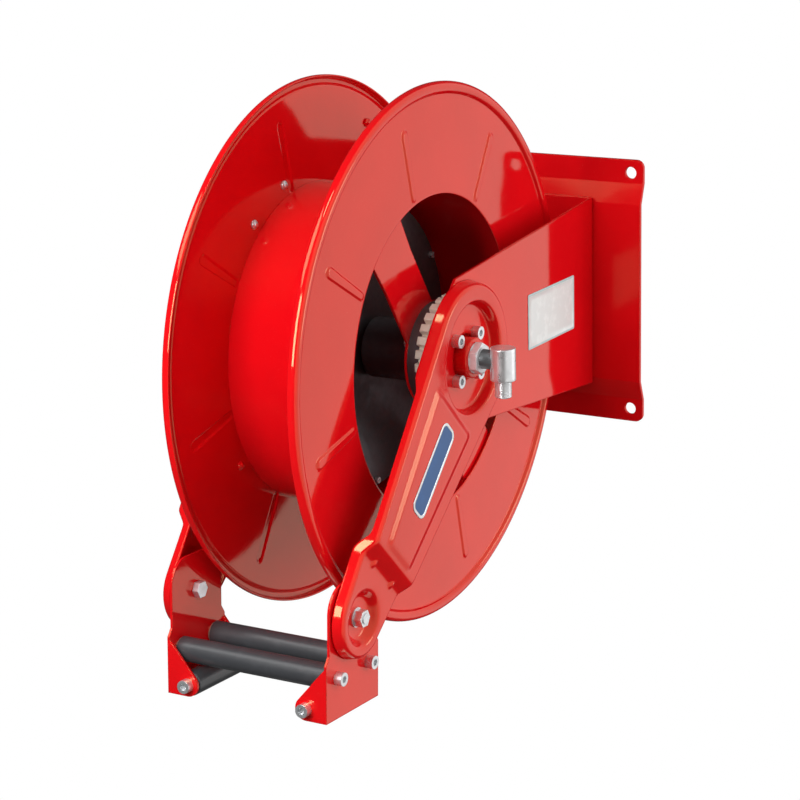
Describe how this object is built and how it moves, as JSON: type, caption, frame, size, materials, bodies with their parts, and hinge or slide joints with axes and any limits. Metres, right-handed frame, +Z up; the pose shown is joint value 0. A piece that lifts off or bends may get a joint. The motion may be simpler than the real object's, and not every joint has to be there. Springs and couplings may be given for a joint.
{
  "type": "wall_hose_reel",
  "caption": "Open wall-mounted hose reel with a spring-rewound drum, ratchet and pawl, swivel water inlet and tilting roller guide, in red painted steel",
  "frame": {"origin": "centre of the wall plate's back face, which is the centre of its four bolt holes", "axes": "X is the reel axis towards the inlet, +Y points into the wall, +Z is up"},
  "size_m": [0.308, 0.5749, 0.5624],
  "materials": {
    "red_paint": "gloss red enamel",
    "zinc": "bright zinc plated",
    "dark_steel": "dark oiled steel",
    "ratchet_zinc": "pale zinc plated",
    "roller_nylon": "satin dark grey",
    "bronze": "turned bronze",
    "seal_rubber": "black rubber",
    "badge_blue": "gloss blue",
    "label_white": "gloss white"
  },
  "bodies": {
    "frame": {"wall_plate": "red_paint", "arm_frame": "red_paint", "frame_bolts": "zinc", "frame_nuts": "zinc", "right_outlet_arm": "red_paint", "left_outlet_arm": "red_paint", "right_arm_screws": "zinc", "left_arm_screws": "zinc", "axle": "red_paint", "axle_end_flange": "zinc", "axle_circlip": "dark_steel", "spring_arbor": "zinc", "swivel_nut": "zinc", "swivel_seal": "seal_rubber", "pawl_pin": "zinc", "pawl_spring": "dark_steel", "pivot_bolts": "zinc", "pivot_washers": "zinc", "pivot_nuts": "zinc", "friction_washers": "roller_nylon", "badge": "badge_blue", "label": "label_white"},
    "elbow": {"inlet_elbow": "zinc"},
    "pawl": {"pawl": "zinc"},
    "drum": {"right_flange": "red_paint", "left_flange": "red_paint", "drum_shell": "red_paint", "right_cross_bar": "red_paint", "left_cross_bar": "red_paint", "drum_hub": "dark_steel", "end_hub": "dark_steel", "right_hub_screws": "zinc", "left_hub_screws": "zinc", "right_bearing": "bronze", "left_bearing": "bronze", "water_seals": "seal_rubber", "hose_pipe": "zinc", "ratchet_wheel": "ratchet_zinc", "ratchet_screws": "zinc", "spring_case": "dark_steel", "spring_cover": "dark_steel", "cover_screws": "zinc", "mainspring": "dark_steel"},
    "guide": {"right_guide_plate": "red_paint", "left_guide_plate": "red_paint", "long_shafts": "zinc", "short_shafts": "zinc", "shaft_screws": "zinc"},
    "front_roller": {"front_roller": "roller_nylon", "front_roller_bushes": "bronze"},
    "rear_roller": {"rear_roller": "roller_nylon", "rear_roller_bushes": "bronze"},
    "right_roller": {"right_roller": "roller_nylon", "right_roller_bushes": "bronze"},
    "left_roller": {"left_roller": "roller_nylon", "left_roller_bushes": "bronze"}
  },
  "joints": [
    {"name": "elbow_turn", "type": "hinge", "parent": "frame", "child": "elbow", "pos_m": [0.112, -0.31, -0.0045], "axis": [1, 0, 0], "continuous": true},
    {"name": "pawl_swing", "type": "hinge", "parent": "frame", "child": "pawl", "pos_m": [0.084, -0.25059, 0.0296], "axis": [1, 0, 0], "range_deg": [0, 12.5], "stiffness_Nm_per_rad": 0.5, "springref_deg": -17.19},
    {"name": "drum_spin", "type": "hinge", "parent": "frame", "child": "drum", "pos_m": [0, -0.31, -0.0045], "axis": [1, 0, 0], "range_deg": [0, 5130], "stiffness_Nm_per_rad": 0.12, "springref_deg": -1080.03},
    {"name": "guide_tilt", "type": "hinge", "parent": "frame", "child": "guide", "pos_m": [0, -0.51258, -0.20779], "axis": [1, 0, 0], "range_deg": [-95, 25]},
    {"name": "front_roller_spin", "type": "hinge", "parent": "guide", "child": "front_roller", "pos_m": [0, -0.54335, -0.25795], "axis": [1, 0, 0], "continuous": true},
    {"name": "rear_roller_spin", "type": "hinge", "parent": "guide", "child": "rear_roller", "pos_m": [0, -0.48723, -0.26089], "axis": [1, 0, 0], "continuous": true},
    {"name": "right_roller_spin", "type": "hinge", "parent": "guide", "child": "right_roller", "pos_m": [0.066, -0.51677, -0.28768], "axis": [0, 0.9986, -0.0523], "continuous": true},
    {"name": "left_roller_spin", "type": "hinge", "parent": "guide", "child": "left_roller", "pos_m": [-0.066, -0.51677, -0.28768], "axis": [0, 0.9986, -0.0523], "continuous": true}
  ]
}
